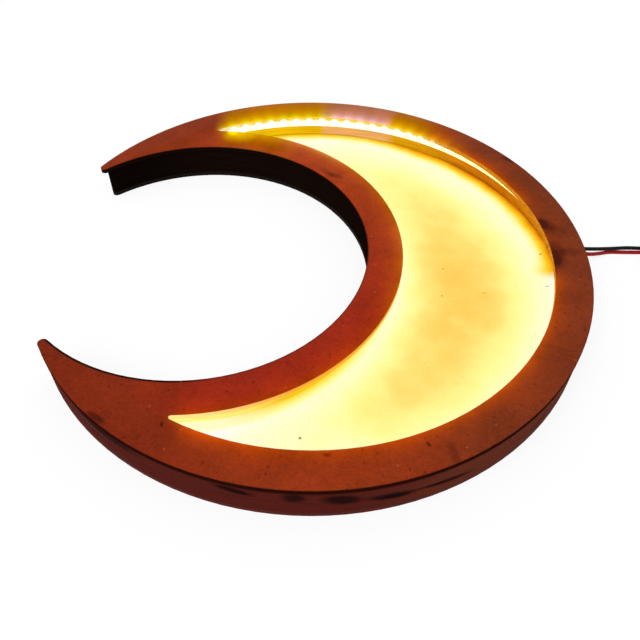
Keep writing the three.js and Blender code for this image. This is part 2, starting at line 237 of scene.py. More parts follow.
def smooth_line(points):
    """Centripetal Catmull-Rom curve through the points, in steps of about LINE_STEP."""
    line = [Vector(p) for p in points]
    line = [2 * line[0] - line[1], *line, 2 * line[-1] - line[-2]]
    made = []
    for a, b, c, d in zip(line, line[1:], line[2:], line[3:]):
        before, along, after = ((q - p).length ** 0.5 for p, q in ((a, b), (b, c), (c, d)))
        start = ((b - a) / before - (c - a) / (before + along) + (c - b) / along) * along
        end = ((c - b) / along - (d - b) / (along + after) + (d - c) / after) * along
        steps = max(2, round((c - b).length / LINE_STEP))
        for i in range(steps):
            t = i / steps
            cubic = 2 * b - 2 * c + start + end
            square = 3 * c - 3 * b - 2 * start - end
            made.append(b + start * t + square * t**2 + cubic * t**3)
    return [*made, line[-2]]


def beside_hole(out, across, up):
    """Point out from the moon's centre through the hole, across it, and up."""
    return Matrix.Rotation(LEAD_ANGLE, 3, "Z") @ Vector((out, across, up))


def coil_point(turns, t):
    inward, outward = turns
    theta = 2 * math.pi * (t * (inward + outward) - inward)
    radius = COIL_INNER + COIL_PITCH * math.hypot(theta, REVERSAL_ROUNDING) / (2 * math.pi)
    angle = math.pi / 2 - theta - 2 * math.pi * inward
    rise = min(max(theta / math.pi + 0.5, 0), 1)
    height = COIL_BASE + COIL_LAYER * rise * rise * (3 - 2 * rise)
    return Vector((COIL_X + radius * math.cos(angle), COIL_Y + radius * math.sin(angle), height))


def level_direction(a, b):
    return Vector((b.x - a.x, b.y - a.y, 0)).normalized()


def coil_line(turns):
    """Spiral in below and out above, with a straight stretch of one diameter at each end."""
    steps = round(sum(turns) * 2 * math.pi * (COIL_INNER + COIL_PITCH) / LINE_STEP)
    line = [coil_point(turns, i / steps) for i in range(steps + 1)]
    entering = level_direction(line[0], line[1]) * LEAD_DIAMETER
    leaving = level_direction(line[-2], line[-1]) * LEAD_DIAMETER
    return [line[0] - entering, *line, line[-1] + leaving]


def run_line(side, route, coil):
    """From the hole's mouth down to the table and along it to the coil."""
    across = side * LEAD_SPACING / 2
    start = beside_hole(RING_OUTER, across, LEAD_HEIGHT)
    first = beside_hole(RING_OUTER + SEAT_GAP / 2, across, LEAD_HEIGHT)
    onward = beside_hole(RING_OUTER + SEAT_GAP / 2 + LEAD_DIAMETER, across, LEAD_HEIGHT)
    into = (coil[1] - coil[0]).normalized()
    over = [Vector((first.x + out, first.y + aside, up)) for out, aside, up in route]
    end = coil[0] - into * SEAT_GAP
    return smooth_line([start, onward, *over, end - into * LEAD_DIAMETER, end])


def socket_place():
    ends = [coil_line(turns)[-1] for turns in (RED_TURNS, BLACK_TURNS)]
    return Vector(((ends[0].x + ends[1].x) / 2, ends[0].y - TAIL_LENGTH, SOCKET_RADIUS))


def tail_line(side, coil):
    """From the coil into the back of the socket."""
    end = coil[-1]
    away = level_direction(coil[-2], coil[-1])
    entry = socket_place() + Vector((-side * LEAD_SPACING / 2, SEAT_GAP, 0))
    start = end + away * SEAT_GAP
    between = []
    for share, drop in TAIL_ROUTE:
        point = start.lerp(entry, share)
        between.append(Vector((point.x, point.y, start.z - drop)))
    mouth = entry + Vector((0, LEAD_DIAMETER, 0))
    return smooth_line([start, start + away * LEAD_DIAMETER, *between, mouth, entry])


def tube(name, line):
    """Round lead along a line of points in millimetres."""
    data = bpy.data.curves.new(name, "CURVE")
    data.dimensions = "3D"
    data.bevel_depth = LEAD_RADIUS * MM
    data.bevel_resolution = 6
    data.use_fill_caps = True
    spline = data.splines.new("POLY")
    spline.points.add(len(line) - 1)
    for point, at in zip(spline.points, line):
        point.co = (*place(at), 1)
    spline.use_smooth = True
    return add_object(name, data)


def free_lead(name, side, route, turns):
    coil = coil_line(turns)
    return tube(name, [*run_line(side, route, coil), *coil, *tail_line(side, coil)])


def inner_lead(name, side, pad_height):
    """In through the hole, up round a quarter bend and on to the solder joint."""
    across = side * LEAD_SPACING / 2
    points = [beside_hole(RING_OUTER, across, LEAD_HEIGHT)]
    bend_start = LEAD_RISE + LEAD_BEND
    points.append(beside_hole((RING_OUTER + bend_start) / 2, across, LEAD_HEIGHT))
    for angle in quarter_turn(4):
        out = bend_start - LEAD_BEND * math.sin(angle)
        points.append(beside_hole(out, across, LEAD_HEIGHT + LEAD_BEND * (1 - math.cos(angle))))
    points.append(beside_hole(LEAD_RISE, across, pad_height - SOLDER_RADIUS - SEAT_GAP))
    return tube(name, smooth_line(points))


black_lead = free_lead("black_lead", 1, BLACK_ROUTE, BLACK_TURNS)
red_lead = free_lead("red_lead", -1, RED_ROUTE, RED_TURNS)
black_inner = inner_lead("black_lead_inner", 1, BLACK_PAD)
red_inner = inner_lead("red_lead_inner", -1, RED_PAD)


# Mesh helpers

def mesh_piece(name, bm):
    """Object of a bmesh in millimetres from the moon's centre. Edges over SHARP_ANGLE stay sharp."""
    data = bpy.data.meshes.new(name)
    bm.to_mesh(data)
    bm.free()
    data.transform(Matrix.Scale(MM, 4) @ Matrix.Translation((MOON_X, 0, 0)))
    data.shade_smooth()
    data.set_sharp_from_angle(angle=SHARP_ANGLE)
    return add_object(name, data)


def rounded_block(size, out, along, edge, slot=0):
    """Box with rounded edges that stands out from the board, as a mesh to copy."""
    bm = bmesh.new()
    bmesh.ops.create_cube(bm, size=1, matrix=Matrix.Diagonal((*size, 1)))
    bmesh.ops.bevel(bm, geom=bm.edges[:], offset=edge, segments=2, affect="EDGES", profile=0.5)
    bmesh.ops.translate(bm, vec=(-out, along, 0), verts=bm.verts[:])
    return template(bm, slot)


def disc(radius, height, out, slot):
    """Flat round plate that faces the moon's centre, as a mesh to copy."""
    bm = bmesh.new()
    lie = Matrix.Translation((-out, 0, 0)) @ Matrix.Rotation(math.pi / 2, 4, "Y")
    bmesh.ops.create_cone(
        bm, cap_ends=True, segments=24, radius1=radius, radius2=radius, depth=height, matrix=lie,
    )
    return template(bm, slot)


def template(bm, slot):
    for face in bm.faces:
        face.material_index = slot
    data = bpy.data.meshes.new("template")
    bm.to_mesh(data)
    bm.free()
    return data


def copied(templates, places):
    """One bmesh of the templates, copied to each place."""
    bm = bmesh.new()
    for where in places:
        for data in templates:
            copy = data.copy()
            copy.transform(where)
            bm.from_mesh(copy)
            bpy.data.meshes.remove(copy)
    for data in templates:
        bpy.data.meshes.remove(data)
    return bm


def on_strip(angle, height):
    """Place on the board's face: +X to the wall, Y along the strip, Z up."""
    return Matrix.Rotation(angle, 4, "Z") @ Matrix.Translation((STRIP_FACE, 0, height))


def strip_angle(position):
    """Angle of a position counted in LEDs from the strip's first end."""
    return (position - LED_COUNT / 2) * LED_ANGLE


def lathe(name, profile, centre):
    """Profile of (radius, y) turned about the socket's axis."""
    bm = bmesh.new()
    verts = [bm.verts.new((radius, y, 0)) for radius, y in profile]
    for a, b in zip(verts, verts[1:]):
        bm.edges.new((a, b))
    bmesh.ops.spin(
        bm, geom=bm.verts[:] + bm.edges[:], cent=(0, 0, 0), axis=(0, 1, 0),
        angle=2 * math.pi, steps=TURNED_SIDES, use_duplicate=False,
    )
    bmesh.ops.remove_doubles(bm, verts=bm.verts[:], dist=1e-4)
    bmesh.ops.recalc_face_normals(bm, faces=bm.faces[:])
    bmesh.ops.translate(bm, vec=centre, verts=bm.verts[:])
    return mesh_piece(name, bm)


def rounded(piece, width):
    """Softens the arrises of a piece and shades its curves smoothly."""
    weld = piece.modifiers.new("weld", "WELD")
    weld.merge_threshold = WELD_REACH
    bevel = piece.modifiers.new("arris", "BEVEL")
    bevel.width = width * MM
    bevel.segments = 2
    bevel.limit_method = "ANGLE"
    bevel.angle_limit = ARRIS_ANGLE
    smooth = piece.modifiers.new("smooth", "NODES")
    smooth.node_group = smooth_group


def smooth_by_angle():
    """Geometry nodes that shade smoothly across edges under SMOOTH_ANGLE."""
    group = bpy.data.node_groups.new("smooth_by_angle", "GeometryNodeTree")
    group.interface.new_socket("Geometry", in_out="INPUT", socket_type="NodeSocketGeometry")
    group.interface.new_socket("Geometry", in_out="OUTPUT", socket_type="NodeSocketGeometry")
    start = group.nodes.new("NodeGroupInput")
    faces = group.nodes.new("GeometryNodeSetShadeSmooth")
    edges = group.nodes.new("GeometryNodeSetShadeSmooth")
    edges.domain = "EDGE"
    angle = group.nodes.new("GeometryNodeInputMeshEdgeAngle")
    gentle = group.nodes.new("ShaderNodeMath")
    gentle.operation = "LESS_THAN"
    gentle.inputs[1].default_value = SMOOTH_ANGLE
    end = group.nodes.new("NodeGroupOutput")
    group.links.new(start.outputs[0], faces.inputs["Geometry"])
    group.links.new(faces.outputs[0], edges.inputs["Geometry"])
    group.links.new(angle.outputs["Unsigned Angle"], gentle.inputs[0])
    group.links.new(gentle.outputs[0], edges.inputs["Shade Smooth"])
    group.links.new(edges.outputs[0], end.inputs[0])
    return group


# LED strip

def led_board():
    bm = bmesh.new()
    steps = LED_COUNT * BOARD_STEPS_PER_LED
    corners = [
        (STRIP_FACE, STRIP_BASE), (STRIP_BACK, STRIP_BASE),
        (STRIP_BACK, STRIP_TOP), (STRIP_FACE, STRIP_TOP),
    ]
    rings = []
    for i in range(steps + 1):
        angle = -STRIP_END + 2 * STRIP_END * i / steps
        direction = Vector((math.cos(angle), math.sin(angle), 0))
        rings.append([bm.verts.new(direction * r + Vector((0, 0, z))) for r, z in corners])
    for a, b in zip(rings, rings[1:]):
        for k in range(4):
            bm.faces.new((a[k], a[(k + 1) % 4], b[(k + 1) % 4], b[k]))
    bm.faces.new(rings[0])
    bm.faces.new(reversed(rings[-1]))
    bmesh.ops.recalc_face_normals(bm, faces=bm.faces[:])
    return mesh_piece("led_board", bm)


def led_packages():
    """Housings with a round window of phosphor and a tinned foot at each end."""
    housing = rounded_block(HOUSING, HOUSING_OUT, 0, 0.12)
    phosphor = disc(PHOSPHOR_RADIUS, PHOSPHOR_THICKNESS, PHOSPHOR_OUT, slot=1)
    feet = [rounded_block(HOUSING_FOOT, 0.1, side * HOUSING[1] / 2, 0.04, slot=2) for side in (-1, 1)]
    places = [on_strip(strip_angle(i + 0.5), STRIP_MIDDLE) for i in range(LED_COUNT)]
    return mesh_piece("led_packages", copied([housing, phosphor, *feet], places))


def led_resistors():
    body = rounded_block(RESISTOR, RESISTOR_OUT, 0, 0.06)
    caps = [rounded_block(RESISTOR_CAP, RESISTOR_OUT, side * 1.39, 0.08, slot=1) for side in (-1, 1)]
    places = []
    for section in range(SECTIONS):
        middle = section * LEDS_PER_SECTION + LEDS_PER_SECTION - 1
        places.append(on_strip(strip_angle(middle), STRIP_MIDDLE))
    return mesh_piece("led_resistors", copied([body, *caps], places))


def led_pads():
    """Two tinned pads at each end of every section, where the strip may be cut."""
    pad = rounded_block(CUTTING_PAD, 0.01, 0, 0.02)
    places = []
    for boundary in range(1, SECTIONS):
        angle = strip_angle(boundary * LEDS_PER_SECTION)
        places += [on_strip(angle, z) for z in (STRIP_BASE + PAD_INSET, STRIP_TOP - PAD_INSET)]
    return mesh_piece("led_pads", copied([pad], places))


def led_solder():
    """One drop of solder on each lead's end."""
    bm = bmesh.new()
    for side, height in ((1, BLACK_PAD), (-1, RED_PAD)):
        size = Matrix.Diagonal((SOLDER_HEIGHT, SOLDER_RADIUS, SOLDER_RADIUS, 1))
        at = Matrix.Rotation(LEAD_ANGLE, 4, "Z")
        at = at @ Matrix.Translation((STRIP_FACE, side * LEAD_SPACING / 2, height)) @ size
        made = bmesh.ops.create_uvsphere(bm, u_segments=28, v_segments=16, radius=1, matrix=at)
        behind = [v for v in made["verts"] if v.co.xy.length > STRIP_FACE + 0.15]
        bmesh.ops.delete(bm, geom=behind, context="VERTS")
    bmesh.ops.holes_fill(bm, edges=[e for e in bm.edges if e.is_boundary])
    return mesh_piece("led_solder", bm)


# Socket

def socket_body():
    sleeve_outer = SLEEVE_INNER + SLEEVE_THICKNESS
    bore = sleeve_outer + SEAT_GAP
    bore_end = BORE_DEPTH - SOCKET_LENGTH
    lip = 0.35
    profile = [(0, bore_end), (bore, bore_end)]
    profile += [(bore, -SOCKET_LENGTH + lip), (bore + lip, -SOCKET_LENGTH)]
    for angle in quarter_turn(6):
        radius = SOCKET_RADIUS - SOCKET_EDGE * (1 - math.sin(angle))
        profile.append((radius, -SOCKET_LENGTH + SOCKET_EDGE * (1 - math.cos(angle))))
    for angle in quarter_turn(6):
        radius = SOCKET_RADIUS - SOCKET_EDGE * (1 - math.cos(angle))
        profile.append((radius, -RELIEF_LENGTH - SOCKET_EDGE * (1 - math.sin(angle))))
    rib_step = RELIEF_LENGTH / (RELIEF_RIBS + 0.5)
    for rib in range(RELIEF_RIBS):
        radius = RELIEF_FRONT - (RELIEF_FRONT - RELIEF_REAR) * rib / (RELIEF_RIBS - 1)
        front = -RELIEF_LENGTH + rib * rib_step
        half = rib_step / 2
        soft = RELIEF_GROOVE / 3
        profile += [(radius - RELIEF_GROOVE, front), (radius - RELIEF_GROOVE, front + half - soft)]
        profile += [(radius - soft, front + half), (radius, front + half + soft)]
        profile += [(radius, front + rib_step - soft), (radius - soft, front + rib_step)]
    tail = RELIEF_REAR - RELIEF_GROOVE / 2
    profile += [(tail, -rib_step / 2 + 0.2), (tail, -0.2), (tail - 0.2, 0), (0, 0)]
    return lathe("dc_socket_body", profile, socket_place())


def socket_sleeve():
    front = -SOCKET_LENGTH + SLEEVE_RECESS
    rear = BORE_DEPTH - SOCKET_LENGTH - SEAT_GAP
    outer = SLEEVE_INNER + SLEEVE_THICKNESS
    rolled = SLEEVE_THICKNESS / 2
    profile = [(SLEEVE_INNER, rear), (SLEEVE_INNER, front + rolled)]
    for i in range(1, 8):
        angle = math.pi - i / 8 * math.pi
        radius = SLEEVE_INNER + rolled + rolled * math.cos(angle)
        profile.append((radius, front + rolled - rolled * math.sin(angle)))
    profile += [(outer, front + rolled), (outer, rear), (SLEEVE_INNER, rear)]
    return lathe("dc_socket_sleeve", profile, socket_place())


def socket_pin():
    """Centre pin with a rounded tip."""
    tip = -SOCKET_LENGTH + PIN_RECESS
    rear = BORE_DEPTH - SOCKET_LENGTH - SEAT_GAP
    profile = [(0, tip), (PIN_TIP_RADIUS * 0.8, tip), (PIN_TIP_RADIUS, tip + 0.05)]
    for angle in quarter_turn(5)[1:]:
        radius = PIN_TIP_RADIUS + (PIN_RADIUS - PIN_TIP_RADIUS) * math.sin(angle)
        profile.append((radius, tip + 0.05 + (PIN_TIP_LENGTH - 0.05) * (1 - math.cos(angle))))
    profile += [(PIN_RADIUS, rear), (0, rear)]
    return lathe("dc_socket_pin", profile, socket_place())


# Materials

def tone(red, green, blue):
    """Linear colour of an sRGB colour in steps of 255."""
    def linear(step):
        share = step / 255
        return share / 12.92 if share <= 0.04045 else ((share + 0.055) / 1.055) ** 2.4
    return (linear(red), linear(green), linear(blue), 1)


class Nodes:
    """The node tree of a material or of the world."""

    def __init__(self, owner):
        owner.use_nodes = True
        self.tree = owner.node_tree

    def add(self, kind, *inputs, **settings):
        node = self.tree.nodes.new("ShaderNode" + kind)
        for name, value in settings.items():
            setattr(node, name, value)
        for socket, value in zip(node.inputs, inputs):
            self.put(socket, value)
        return node

    def put(self, socket, value):
        if isinstance(value, bpy.types.NodeSocket):
            self.tree.links.new(value, socket)
        elif value is not None:
            socket.default_value = value

    def math(self, operation, a, b=0):
        return self.add("Math", a, b, operation=operation).outputs[0]


class Finish(Nodes):
    """A node material. Its coordinates are millimetres from the moon's centre."""

    def __init__(self, name, **plain):
        self.material = bpy.data.materials.new(name)
        super().__init__(self.material)
        self.shader = self.tree.nodes["Principled BSDF"]
        for socket, value in plain.items():
            self.shader.inputs[socket.replace("_", " ")].default_value = value
        centre = self.add("TexCoord").outputs["Object"]
        centre = self.vector("SUBTRACT", centre, (MOON_X * MM, 0, 0))
        self.where = self.vector("SCALE", centre, scale=1 / MM)
        self.x, self.y, self.z = self.add("SeparateXYZ", self.where).outputs
        flat = self.vector("MULTIPLY", self.where, (1, 1, 0))
        self.radius = self.vector("LENGTH", flat)
        self.bite = self.vector("LENGTH", self.vector("ADD", flat, (BITE_OFFSET, 0, 0)))
        self.angle = self.math("ARCTAN2", self.y, self.x)

    def fold(self, operation, values):
        made = values[0]
        for value in values[1:]:
            made = self.math(operation, made, value)
        return made

    def times(self, *factors):
        return self.fold("MULTIPLY", factors)

    def plus(self, *terms):
        return self.fold("ADD", terms)

    def most(self, *values):
        return self.fold("MAXIMUM", values)

    def minus(self, a, b):
        return self.math("SUBTRACT", a, b)

    def over(self, a, b):
        return self.math("DIVIDE", a, b)

    def size(self, value):
        return self.math("ABSOLUTE", value)

    def rest(self, share):
        """What a share leaves of 1."""
        return self.minus(1, share)

    def vector(self, operation, a, b=None, scale=None):
        node = self.add("VectorMath", a, b, operation=operation)
        if scale is not None:
            self.put(node.inputs["Scale"], scale)
        return node.outputs["Value" if operation == "LENGTH" else "Vector"]

    def step(self, value, low, high, to_low=0, to_high=1):
        """Smooth step from to_low at low to to_high at high."""
        node = self.add("MapRange", value, low, high, to_low, to_high, interpolation_type="SMOOTHSTEP")
        return node.outputs[0]

    def sector(self, low, high):
        """Smooth step of the angle round the centre, from low to high in degrees."""
        return self.step(self.angle, math.radians(low), math.radians(high))

    def vary(self, noise, low, high):
        """Noise spread over the range from low to high."""
        return self.step(noise, 0.3, 0.7, low, high)

    def fade(self, distance, reach):
        """1 at no distance, falling by e over each reach."""
        return self.math("EXPONENT", self.times(distance, -1 / reach))

    def blend(self, factor, a, b):
        unused = [None] * 5
        return self.add("Mix", factor, *unused, a, b, data_type="RGBA").outputs[2]

    def noise(self, scale, detail=2, stretch=None, where=None):
        where = where or self.where
        if stretch:
            where = self.vector("MULTIPLY", where, stretch)
        return self.add("TexNoise", where, None, scale, detail).outputs["Fac"]

    def specks(self, spacing, size, share, where=None):
        """Scattered flat dots, size and spacing in millimetres, in a share of the cells."""
        where = where or self.where
        node = self.add("TexVoronoi", where, None, 1 / spacing, voronoi_dimensions="2D")
        inside = self.step(node.outputs["Distance"], size / spacing, 0.45 * size / spacing)
        chosen = self.add("SeparateColor", node.outputs["Color"]).outputs[0]
        return self.times(inside, self.math("LESS_THAN", chosen, share))

    def ramp(self, value, stops):
        """Colours between stops, each a position and an sRGB colour in steps of 255."""
        node = self.add("ValToRGB", value)
        elements = node.color_ramp.elements
        while len(elements) < len(stops):
            elements.new(1)
        for element, (position, *colour) in zip(elements, stops):
            element.position = position
            element.color = tone(*colour)
        return node.outputs[0]

    def mark(self, where, height, centre, reach, turn=0, soft=0):
        """Soft oval spot at a height: its middle, half sizes and turn in degrees."""
        turned = (0, 0, math.radians(turn))
        node = self.add(
            "Mapping", where, (*centre, height), turned, (*reach, MARK_DEPTH), vector_type="TEXTURE",
        )
        return self.step(self.vector("LENGTH", node.outputs[0]), 1, soft)

    def marks(self, where, height, ovals):
        total = 0
        for centre, reach, turn, strength in ovals:
            spot = self.mark(where, height, centre, reach, turn, MARK_SOFTNESS)
            total = self.plus(total, self.times(spot, strength))
        return self.math("MINIMUM", total, 1)

    def scaled(self, colour, factor):
        return self.vector("SCALE", colour[:3] if isinstance(colour, tuple) else colour, scale=factor)

    def sum(self, *vectors):
        made = vectors[0]
        for vector in vectors[1:]:
            made = self.vector("ADD", made, vector)
        return made

    def normal_up(self):
        normal = self.add("NewGeometry").outputs["True Normal"]
        return self.add("SeparateXYZ", normal).outputs[2]

    def colour(self, value):
        self.put(self.shader.inputs["Base Color"], value)

    def rough(self, value):
        self.put(self.shader.inputs["Roughness"], value)

    def gloss(self, value):
        self.put(self.shader.inputs["Specular IOR Level"], value)

    def light(self, value):
        self.put(self.shader.inputs["Emission Color"], value)
        self.shader.inputs["Emission Strength"].default_value = 1

    def relief(self, height, distance_mm, strength=1):
        node = self.add("Bump")
        node.inputs["Strength"].default_value = strength
        node.inputs["Distance"].default_value = distance_mm * MM
        self.put(node.inputs["Height"], height)
        self.put(self.shader.inputs["Normal"], node.outputs[0])


RUST = tone(118, 47, 14)
RUST_BELOW = tone(122, 49, 23)
MAROON = tone(127, 40, 15)
CINNAMON = tone(137, 47, 13)
COPPER = tone(148, 38, 19)
TERRACOTTA = tone(161, 57, 20)
EMBER = tone(146, 50, 17)
CHAR = tone(14, 5, 4)
CHARRED_EDGE = tone(38, 13, 8)
SMUDGE = tone(70, 17, 4)
WALL_TONE = tone(83, 28, 21)
WALL_LIGHT = tone(97, 43, 27)
SINGED = tone(54, 12, 8)
# Painted shade: the near-black of the bay walls, which stand in shadow.
BAY_SHADE = tone(20, 11, 7)

# Specks: spacing, size, share of the cells that hold one, strength, tone.
FACE_SPECKS = [
    (6, 0.6, 0.32, 0.7, tone(56, 11, 7)),
    (3.2, 0.5, 0.3, 0.35, tone(60, 12, 8)),
    (14, 0.6, 0.4, 0.3, tone(196, 112, 72)),
]
# Smudges and chips of the face: middle, half sizes, turn in degrees, strength.
FACE_MARKS = [
    ((119.2, 15.8), (6.5, 8.5), 12, 0.6),
    ((118.2, 17), (3.6, 5.5), 12, 0.6),
    ((125.5, 12.5), (6.5, 4), -20, 0.3),
    ((119.6, -6), (6.5, 13.5), -4, 0.65),
    ((118.6, -9), (3.6, 8), -4, 0.7),
    ((116.4, -17), (1.6, 5), -8, 0.6),
    ((127, -4.5), (7.5, 4.5), 0, 0.4),
    ((111.8, 73.8), (7, 2.8), -32, 0.75),
    ((44.9, -115), (0.9, 1.7), 30, 0.95),
    ((6, -119.8), (2.2, 1.3), 0, 0.6),
    ((-58.4, -106.3), (0.9, 1.7), 10, 0.95),
    ((54.3, -119.5), (2.6, 8), 12, 0.4),
    ((8.2, 60.6), (7.5, 3), -50, 0.36),
    ((12.6, 57.6), (5.5, 2.6), -30, 0.4),
    ((-84.8, -103), (6.8, 2.2), -33, 0.85),
    ((-97.5, -77.5), (3.5, 7), 20, 0.2),
]
# Dark marks on the outer wall, the first a band just under the panel and the rest scorch smears: way
# round it and height, half sizes, turn, strength.
WALL_MARKS = [
    ((-302, 15.6), (27, 4.8), -3, 0.8),
    ((-241, 14.2), (11, 2.5), -9, 0.95),
    ((-218, 13.8), (6.2, 4.4), 0, 0.85),
    ((-200, 12), (10.5, 4.6), -8, 0.95),
    ((-180.5, 9.6), (13.5, 3.2), -5, 1),
    ((-158, 8.4), (17, 1.8), -5, 0.95),
    ((-108, 6), (7, 1.2), 0, 0.7),
]
# Dark flecks on the floor: middle, half sizes, turn in degrees, strength.
FLOOR_MARKS = [
    ((-4.8, -101.1), (0.9, 0.9), 0, 0.9),
    ((120.5, 13.3), (1.4, 0.6), 40, 0.8),
    ((67.5, 1.6), (0.8, 0.7), 0, 0.6),
    ((64.5, -18), (0.9, 0.7), 30, 0.5),
    ((86, -16), (1.8, 0.7), 10, 0.3),
    ((118.5, -11), (1.6, 0.5), 10, 0.6),
]


def drifted(f, where, reach):
    """The coordinates shifted by soft noise, so that spots lose their even outline."""
    noise = f.add("TexNoise", where).outputs["Color"]
    drift = f.vector("SUBTRACT", noise, (0.5, 0.5, 0.5))
    return f.vector("ADD", where, f.vector("SCALE", drift, scale=reach))


def led_phase(f):
    """Distance from the middle of the nearest LED, in LED spacings."""
    place_in_led = f.math("FRACT", f.over(f.plus(f.angle, STRIP_END), LED_ANGLE))
    return f.size(f.minus(place_in_led, 0.5))


def mdf_face():
    """Face of the front panel: pressed fibres, scorched edges, painted shade along the bay, and the
    glow of the strip, painted into both its colour and its light.
    """
    f = Finish("mdf_face")
    loose = drifted(f, f.where, 2.4)
    clouds = f.noise(0.05, detail=3)
    blotches = f.noise(0.3, detail=3)
    grain = f.noise(0.9, detail=5)
    fibres = f.noise(1, detail=3, stretch=(0.35, 1.3, 1))
    past_outer = f.minus(f.radius, WINDOW_RADIUS)
    past_inner = f.minus(WINDOW_BITE, f.bite)
    past = f.most(past_outer, past_inner, 0)
    inner_side = f.step(f.minus(past_inner, past_outer), -0.5, 0.5)
    above = f.step(f.y, -50, 60)
    tip_side = f.step(f.x, -60.5, -49)
    lit_arc = f.times(f.sector(38, 64), tip_side)
    lit_edge = f.times(f.sector(46, 63), tip_side)
    lit_tip = f.times(tip_side, f.step(f.x, -6, -26), f.step(f.y, 60, 80), inner_side)
    quiet = f.times(f.sector(24, 12), f.sector(-14, -6))
    off_window = f.size(past_outer)
    not_lit = f.rest(lit_arc)
    not_inner = f.rest(inner_side)

    right, left = f.blend(above, RUST_BELOW, RUST), f.blend(above, MAROON, CINNAMON)
    body = f.blend(f.step(f.x, 45, -55), right, left)
    bottom = f.times(f.sector(-118, -98), f.sector(-56, -76), not_inner)
    body = f.blend(f.times(bottom, 0.8), body, EMBER)
    band = f.times(f.step(f.bite, 104, 97), f.step(f.x, -80, -40))
    body = f.blend(band, body, f.blend(above, COPPER, TERRACOTTA))
    body = f.blend(f.step(f.noise(0.035), 0.55, 0.75, 0, 0.5), body, tone(146, 48, 6))
    shade = f.plus(
        f.vary(clouds, 0.87, 1.1), f.vary(grain, -0.11, 0.11),
        f.vary(fibres, -0.05, 0.05), f.vary(blotches, -0.07, 0.07),
    )
    body = f.scaled(body, shade)
    fewer = f.step(f.y, 70, -20, 0.45, 1)
    for spacing, size, share, strength, speck in FACE_SPECKS:
        dots = f.specks(spacing, size, share, loose)
        body = f.blend(f.times(dots, fewer, strength), body, speck)
    smudged = f.marks(loose, PANEL_TOP, FACE_MARKS)
    body = f.blend(smudged, body, SMUDGE)
    # Painted light: the strip's glow tints the face's colour yellow near the window.
    glow_tint_top = f.times(lit_arc, not_inner, f.step(past_outer, 19, 9))
    glow_tint_tip = f.times(lit_tip, f.step(past_inner, 20, 8))
    glow_tint_rim = f.times(f.fade(past, 5), tip_side, f.rest(f.times(quiet, 0.8)), 0.8)
    glow_tint = f.most(glow_tint_top, glow_tint_tip, glow_tint_rim)
    body = f.vector("MULTIPLY", body, f.blend(glow_tint, (1, 1, 1, 1), (1, 0.85, 0.05, 1)))

    upright = f.step(f.size(f.normal_up()), 0.75, 0.5)
    window_edge = f.times(upright, f.step(past, 3, 1.5))
    outer_edge = f.times(upright, f.step(past, 1.5, 3))
    to_moon = f.minus(MOON_RADIUS, f.radius)
    to_bay = f.minus(f.bite, BITE_RADIUS)
    burnt = f.step(f.noise(0.25), 0.35, 0.6, 0.7, 1)
    moon_line = f.times(f.step(to_moon, 0.6, 0.15), 0.4)
    bay_line = f.times(f.step(to_bay, 1.35, 0.6), f.step(f.x, -25, -60), f.step(f.y, 0, -40), 0.9)
    bay_line = f.most(bay_line, f.times(f.step(to_bay, 0.7, 0.2), 0.6))
    lines = f.times(f.most(moon_line, bay_line), burnt)
    body = f.blend(lines, body, SINGED)
    body = f.blend(f.times(bay_line, bay_line), body, CHAR)
    charred = f.most(lines, outer_edge)
    # The cut edge is charred, with painted shade along the bay.
    body = f.blend(outer_edge, body, f.blend(f.step(to_bay, 1.2, 0.4), CHARRED_EDGE, BAY_SHADE))
    body = f.blend(window_edge, body, tone(50, 24, 6))
    f.colour(body)

    from_led = led_phase(f)
    flare = f.times(f.sector(66, 70), f.sector(89, 81.5))
    turned_right = f.sector(80, 70)
    wide_right = f.blend(f.sector(50, 62), (0.44, 0.05, 0, 1), (0.46, 0.20, 0, 1))
    wide = f.blend(turned_right, (0.41, 0.22, 0, 1), wide_right)
    wide = f.blend(flare, wide, (0.53, 0.24, 0.12, 1))
    tight = f.blend(turned_right, (0.26, 0.40, 0, 1), (0.36, 0.36, 0, 1))
    tight = f.blend(flare, tight, (0.42, 0.30, 0.48, 1))
    tight = f.scaled(tight, f.times(f.step(from_led, 0.5, 0.05, 0.8, 1.25), f.fade(off_window, 3.4)))
    bloom = f.sum(f.scaled(wide, f.fade(off_window, 18)), tight)
    bloom = f.scaled(bloom, f.times(lit_arc, not_inner, f.vary(clouds, 0.92, 1.1)))
    spill_tone = f.blend(f.step(f.y, -60, -10), (0.20, 0.02, 0, 1), (0.31, 0.08, 0, 1))
    spill = f.scaled(spill_tone, f.fade(past, 4))
    bright_bend = f.mark(f.where, PANEL_TOP, (3.5, 80.5), (27, 27), soft=0.1)
    bend_spill = f.scaled((0.42, 0.24, 0.05), f.times(f.fade(past, 1.8), bright_bend))
    wide_spot = f.scaled((0.40, 0.33, 0), f.mark(f.where, PANEL_TOP, (-43.2, 97.5), (12.5, 10.5)))
    spill = f.scaled(spill, f.rest(f.times(lit_tip, 0.4)))
    tip_spill = f.scaled((0.16, 0.20, 0), f.times(f.fade(past, 8), lit_tip))
    hot_spot = f.scaled((0.5, 0.5, 0), f.mark(f.where, PANEL_TOP, (-47.8, 100.6), (5, 5)))
    spill = f.sum(spill, bend_spill, tip_spill, wide_spot, hot_spot)
    spill = f.scaled(spill, f.times(inner_side, tip_side))
    glow_at_tip = f.times(f.sector(-92, -103), f.sector(-118, -112))
    level = f.plus(f.rest(f.times(quiet, 0.75)), f.times(glow_at_tip, 0.5))
    level = f.times(level, not_lit, not_inner, tip_side, f.rest(f.times(bottom, 0.3)))
    rim_glow = f.scaled((0.33, 0.045, 0), f.times(f.fade(past, 3.2), level))
    glow = f.scaled(f.sum(spill, rim_glow), f.step(clouds, 0.25, 0.7, 0.7, 1.2))
    top_glow = f.scaled(f.sum(bloom, glow), f.rest(upright))
    top_glow = f.scaled(top_glow, f.rest(f.times(smudged, 0.8)))

